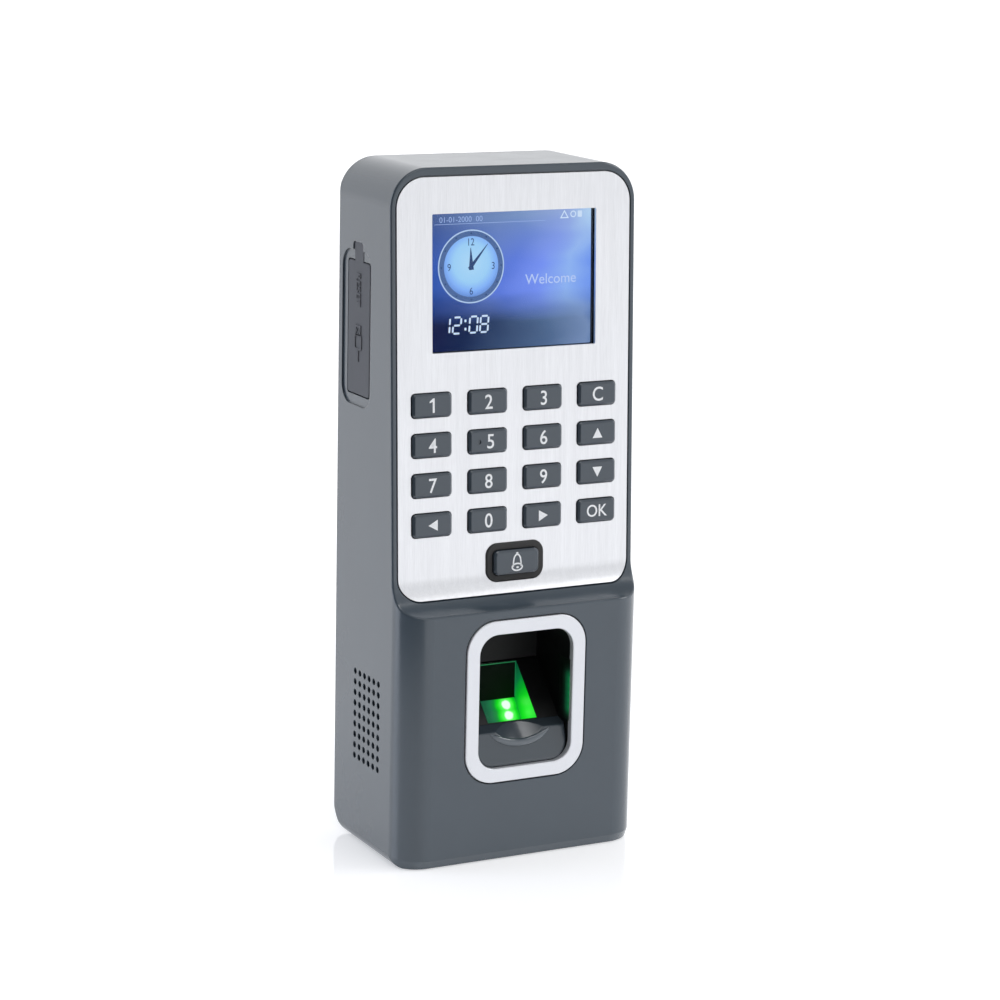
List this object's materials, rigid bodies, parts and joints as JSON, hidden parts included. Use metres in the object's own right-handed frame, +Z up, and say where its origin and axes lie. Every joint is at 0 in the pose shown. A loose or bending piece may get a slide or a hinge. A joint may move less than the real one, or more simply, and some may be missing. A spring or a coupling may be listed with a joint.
{
  "type": "fingerprint scanner terminal",
  "caption": "Upright wall terminal with a colour display, a numeric keypad with a bell key and a recessed fingerprint reader in a thicker lower block",
  "frame": {"origin": "middle of the overall box at the base that the terminal stands on", "axes": "+Z up, the front with the display and the finger window faces -Y, +X to the right seen from the front"},
  "size_m": [0.073, 0.0454, 0.188],
  "materials": {
    "dark_abs": "moulded ABS with a satin textured surface",
    "brushed_plate": "aluminium sheet, brushed lengthwise and clear anodised",
    "ring_silver": "moulded ring painted bright silver",
    "key_abs": "moulded keycap ABS, satin, printed legends",
    "black_abs": "black moulded ABS",
    "clear_window": "clear hard-coated acrylic",
    "lcd_glass": "lit colour display",
    "light_guide": "white light guide",
    "silicone": "moulded silicone",
    "flap_rubber": "soft moulded rubber",
    "board_green": "glass-epoxy board with solder mask",
    "chip_black": "moulded epoxy",
    "connector_white": "nylon",
    "flex_film": "polyimide film",
    "steel_plate": "zinc-plated steel sheet",
    "screw_steel": "zinc-plated screw",
    "port_steel": "nickel-plated shell",
    "prism_glass": "polished optical glass",
    "led_green": "green diode lens",
    "lens_black": "camera lens and barrel",
    "speaker_black": "speaker frame and paper cone",
    "foam_black": "closed-cell foam",
    "relay_blue": "relay case",
    "cell_steel": "coin cell can",
    "capacitor_case": "sleeved capacitor can"
  },
  "bodies": {
    "housing": {"front_housing": "dark_abs", "rear_cover": "dark_abs", "faceplate": "brushed_plate", "display_window": "clear_window", "lcd_frame": "black_abs", "lcd_panel": "lcd_glass", "display_backlight": "light_guide", "keypad_mat": "silicone", "keypad_board": "board_green", "keypad_screws": "screw_steel", "bell_bezel": "black_abs", "sensor_ring": "ring_silver", "finger_guide": "dark_abs", "sensor_well": "black_abs", "sensor_housing": "black_abs", "sensor_prism": "prism_glass", "sensor_leds": "led_green", "sensor_camera": "lens_black", "sensor_board": "board_green", "sensor_ribbon": "flex_film", "display_ribbon": "flex_film", "keypad_ribbon": "flex_film", "main_board": "board_green", "board_screws": "screw_steel", "board_connectors": "connector_white", "wiring_headers": "connector_white", "speaker": "speaker_black", "speaker_gasket": "foam_black", "port_cover_anchor": "flap_rubber", "usb_port": "port_steel", "wall_plate": "steel_plate", "security_screw": "screw_steel", "housing_screws": "screw_steel", "sensor_screws": "screw_steel", "reset_switch": "chip_black", "processor_chips": "chip_black", "capacitors": "capacitor_case", "lock_relay": "relay_blue", "buzzer": "chip_black", "coin_cell": "cell_steel", "coin_cell_holder": "black_abs"},
    "key_1": {"key_1": "key_abs"},
    "key_2": {"key_2": "key_abs"},
    "key_3": {"key_3": "key_abs"},
    "key_clear": {"key_clear": "key_abs"},
    "key_4": {"key_4": "key_abs"},
    "key_5": {"key_5": "key_abs"},
    "key_6": {"key_6": "key_abs"},
    "key_up": {"key_up": "key_abs"},
    "key_7": {"key_7": "key_abs"},
    "key_8": {"key_8": "key_abs"},
    "key_9": {"key_9": "key_abs"},
    "key_down": {"key_down": "key_abs"},
    "key_left": {"key_left": "key_abs"},
    "key_0": {"key_0": "key_abs"},
    "key_right": {"key_right": "key_abs"},
    "key_ok": {"key_ok": "key_abs"},
    "bell_key": {"bell_key": "key_abs"},
    "port_cover": {"port_cover": "flap_rubber"},
    "reset_button": {"reset_button": "key_abs"}
  },
  "joints": [
    {"name": "key_1_press", "type": "slide", "parent": "housing", "child": "key_1", "axis": [0, 0.9991, -0.0422], "range_m": [0, 0.0008], "stiffness_N_per_m": 700},
    {"name": "key_2_press", "type": "slide", "parent": "housing", "child": "key_2", "axis": [0, 0.9991, -0.0422], "range_m": [0, 0.0008], "stiffness_N_per_m": 700},
    {"name": "key_3_press", "type": "slide", "parent": "housing", "child": "key_3", "axis": [0, 0.9991, -0.0422], "range_m": [0, 0.0008], "stiffness_N_per_m": 700},
    {"name": "key_clear_press", "type": "slide", "parent": "housing", "child": "key_clear", "axis": [0, 0.9991, -0.0422], "range_m": [0, 0.0008], "stiffness_N_per_m": 700},
    {"name": "key_4_press", "type": "slide", "parent": "housing", "child": "key_4", "axis": [0, 0.9991, -0.0422], "range_m": [0, 0.0008], "stiffness_N_per_m": 700},
    {"name": "key_5_press", "type": "slide", "parent": "housing", "child": "key_5", "axis": [0, 0.9991, -0.0422], "range_m": [0, 0.0008], "stiffness_N_per_m": 700},
    {"name": "key_6_press", "type": "slide", "parent": "housing", "child": "key_6", "axis": [0, 0.9991, -0.0422], "range_m": [0, 0.0008], "stiffness_N_per_m": 700},
    {"name": "key_up_press", "type": "slide", "parent": "housing", "child": "key_up", "axis": [0, 0.9991, -0.0422], "range_m": [0, 0.0008], "stiffness_N_per_m": 700},
    {"name": "key_7_press", "type": "slide", "parent": "housing", "child": "key_7", "axis": [0, 0.9991, -0.0422], "range_m": [0, 0.0008], "stiffness_N_per_m": 700},
    {"name": "key_8_press", "type": "slide", "parent": "housing", "child": "key_8", "axis": [0, 0.9991, -0.0422], "range_m": [0, 0.0008], "stiffness_N_per_m": 700},
    {"name": "key_9_press", "type": "slide", "parent": "housing", "child": "key_9", "axis": [0, 0.9991, -0.0422], "range_m": [0, 0.0008], "stiffness_N_per_m": 700},
    {"name": "key_down_press", "type": "slide", "parent": "housing", "child": "key_down", "axis": [0, 0.9991, -0.0422], "range_m": [0, 0.0008], "stiffness_N_per_m": 700},
    {"name": "key_left_press", "type": "slide", "parent": "housing", "child": "key_left", "axis": [0, 0.9991, -0.0422], "range_m": [0, 0.0008], "stiffness_N_per_m": 700},
    {"name": "key_0_press", "type": "slide", "parent": "housing", "child": "key_0", "axis": [0, 0.9991, -0.0422], "range_m": [0, 0.0008], "stiffness_N_per_m": 700},
    {"name": "key_right_press", "type": "slide", "parent": "housing", "child": "key_right", "axis": [0, 0.9991, -0.0422], "range_m": [0, 0.0008], "stiffness_N_per_m": 700},
    {"name": "key_ok_press", "type": "slide", "parent": "housing", "child": "key_ok", "axis": [0, 0.9991, -0.0422], "range_m": [0, 0.0008], "stiffness_N_per_m": 700},
    {"name": "bell_key_press", "type": "slide", "parent": "housing", "child": "bell_key", "axis": [0, 0.9991, -0.0422], "range_m": [0, 0.0008], "stiffness_N_per_m": 700},
    {"name": "port_cover_hinge", "type": "hinge", "parent": "housing", "child": "port_cover", "pos_m": [-0.03615, 0.0099, 0.1613], "axis": [0, 1, 0], "range_deg": [0, 110], "stiffness_Nm_per_rad": 0.004},
    {"name": "reset_button_press", "type": "slide", "parent": "housing", "child": "reset_button", "axis": [1, 0, 0], "range_m": [0, 0.0004], "stiffness_N_per_m": 800}
  ]
}
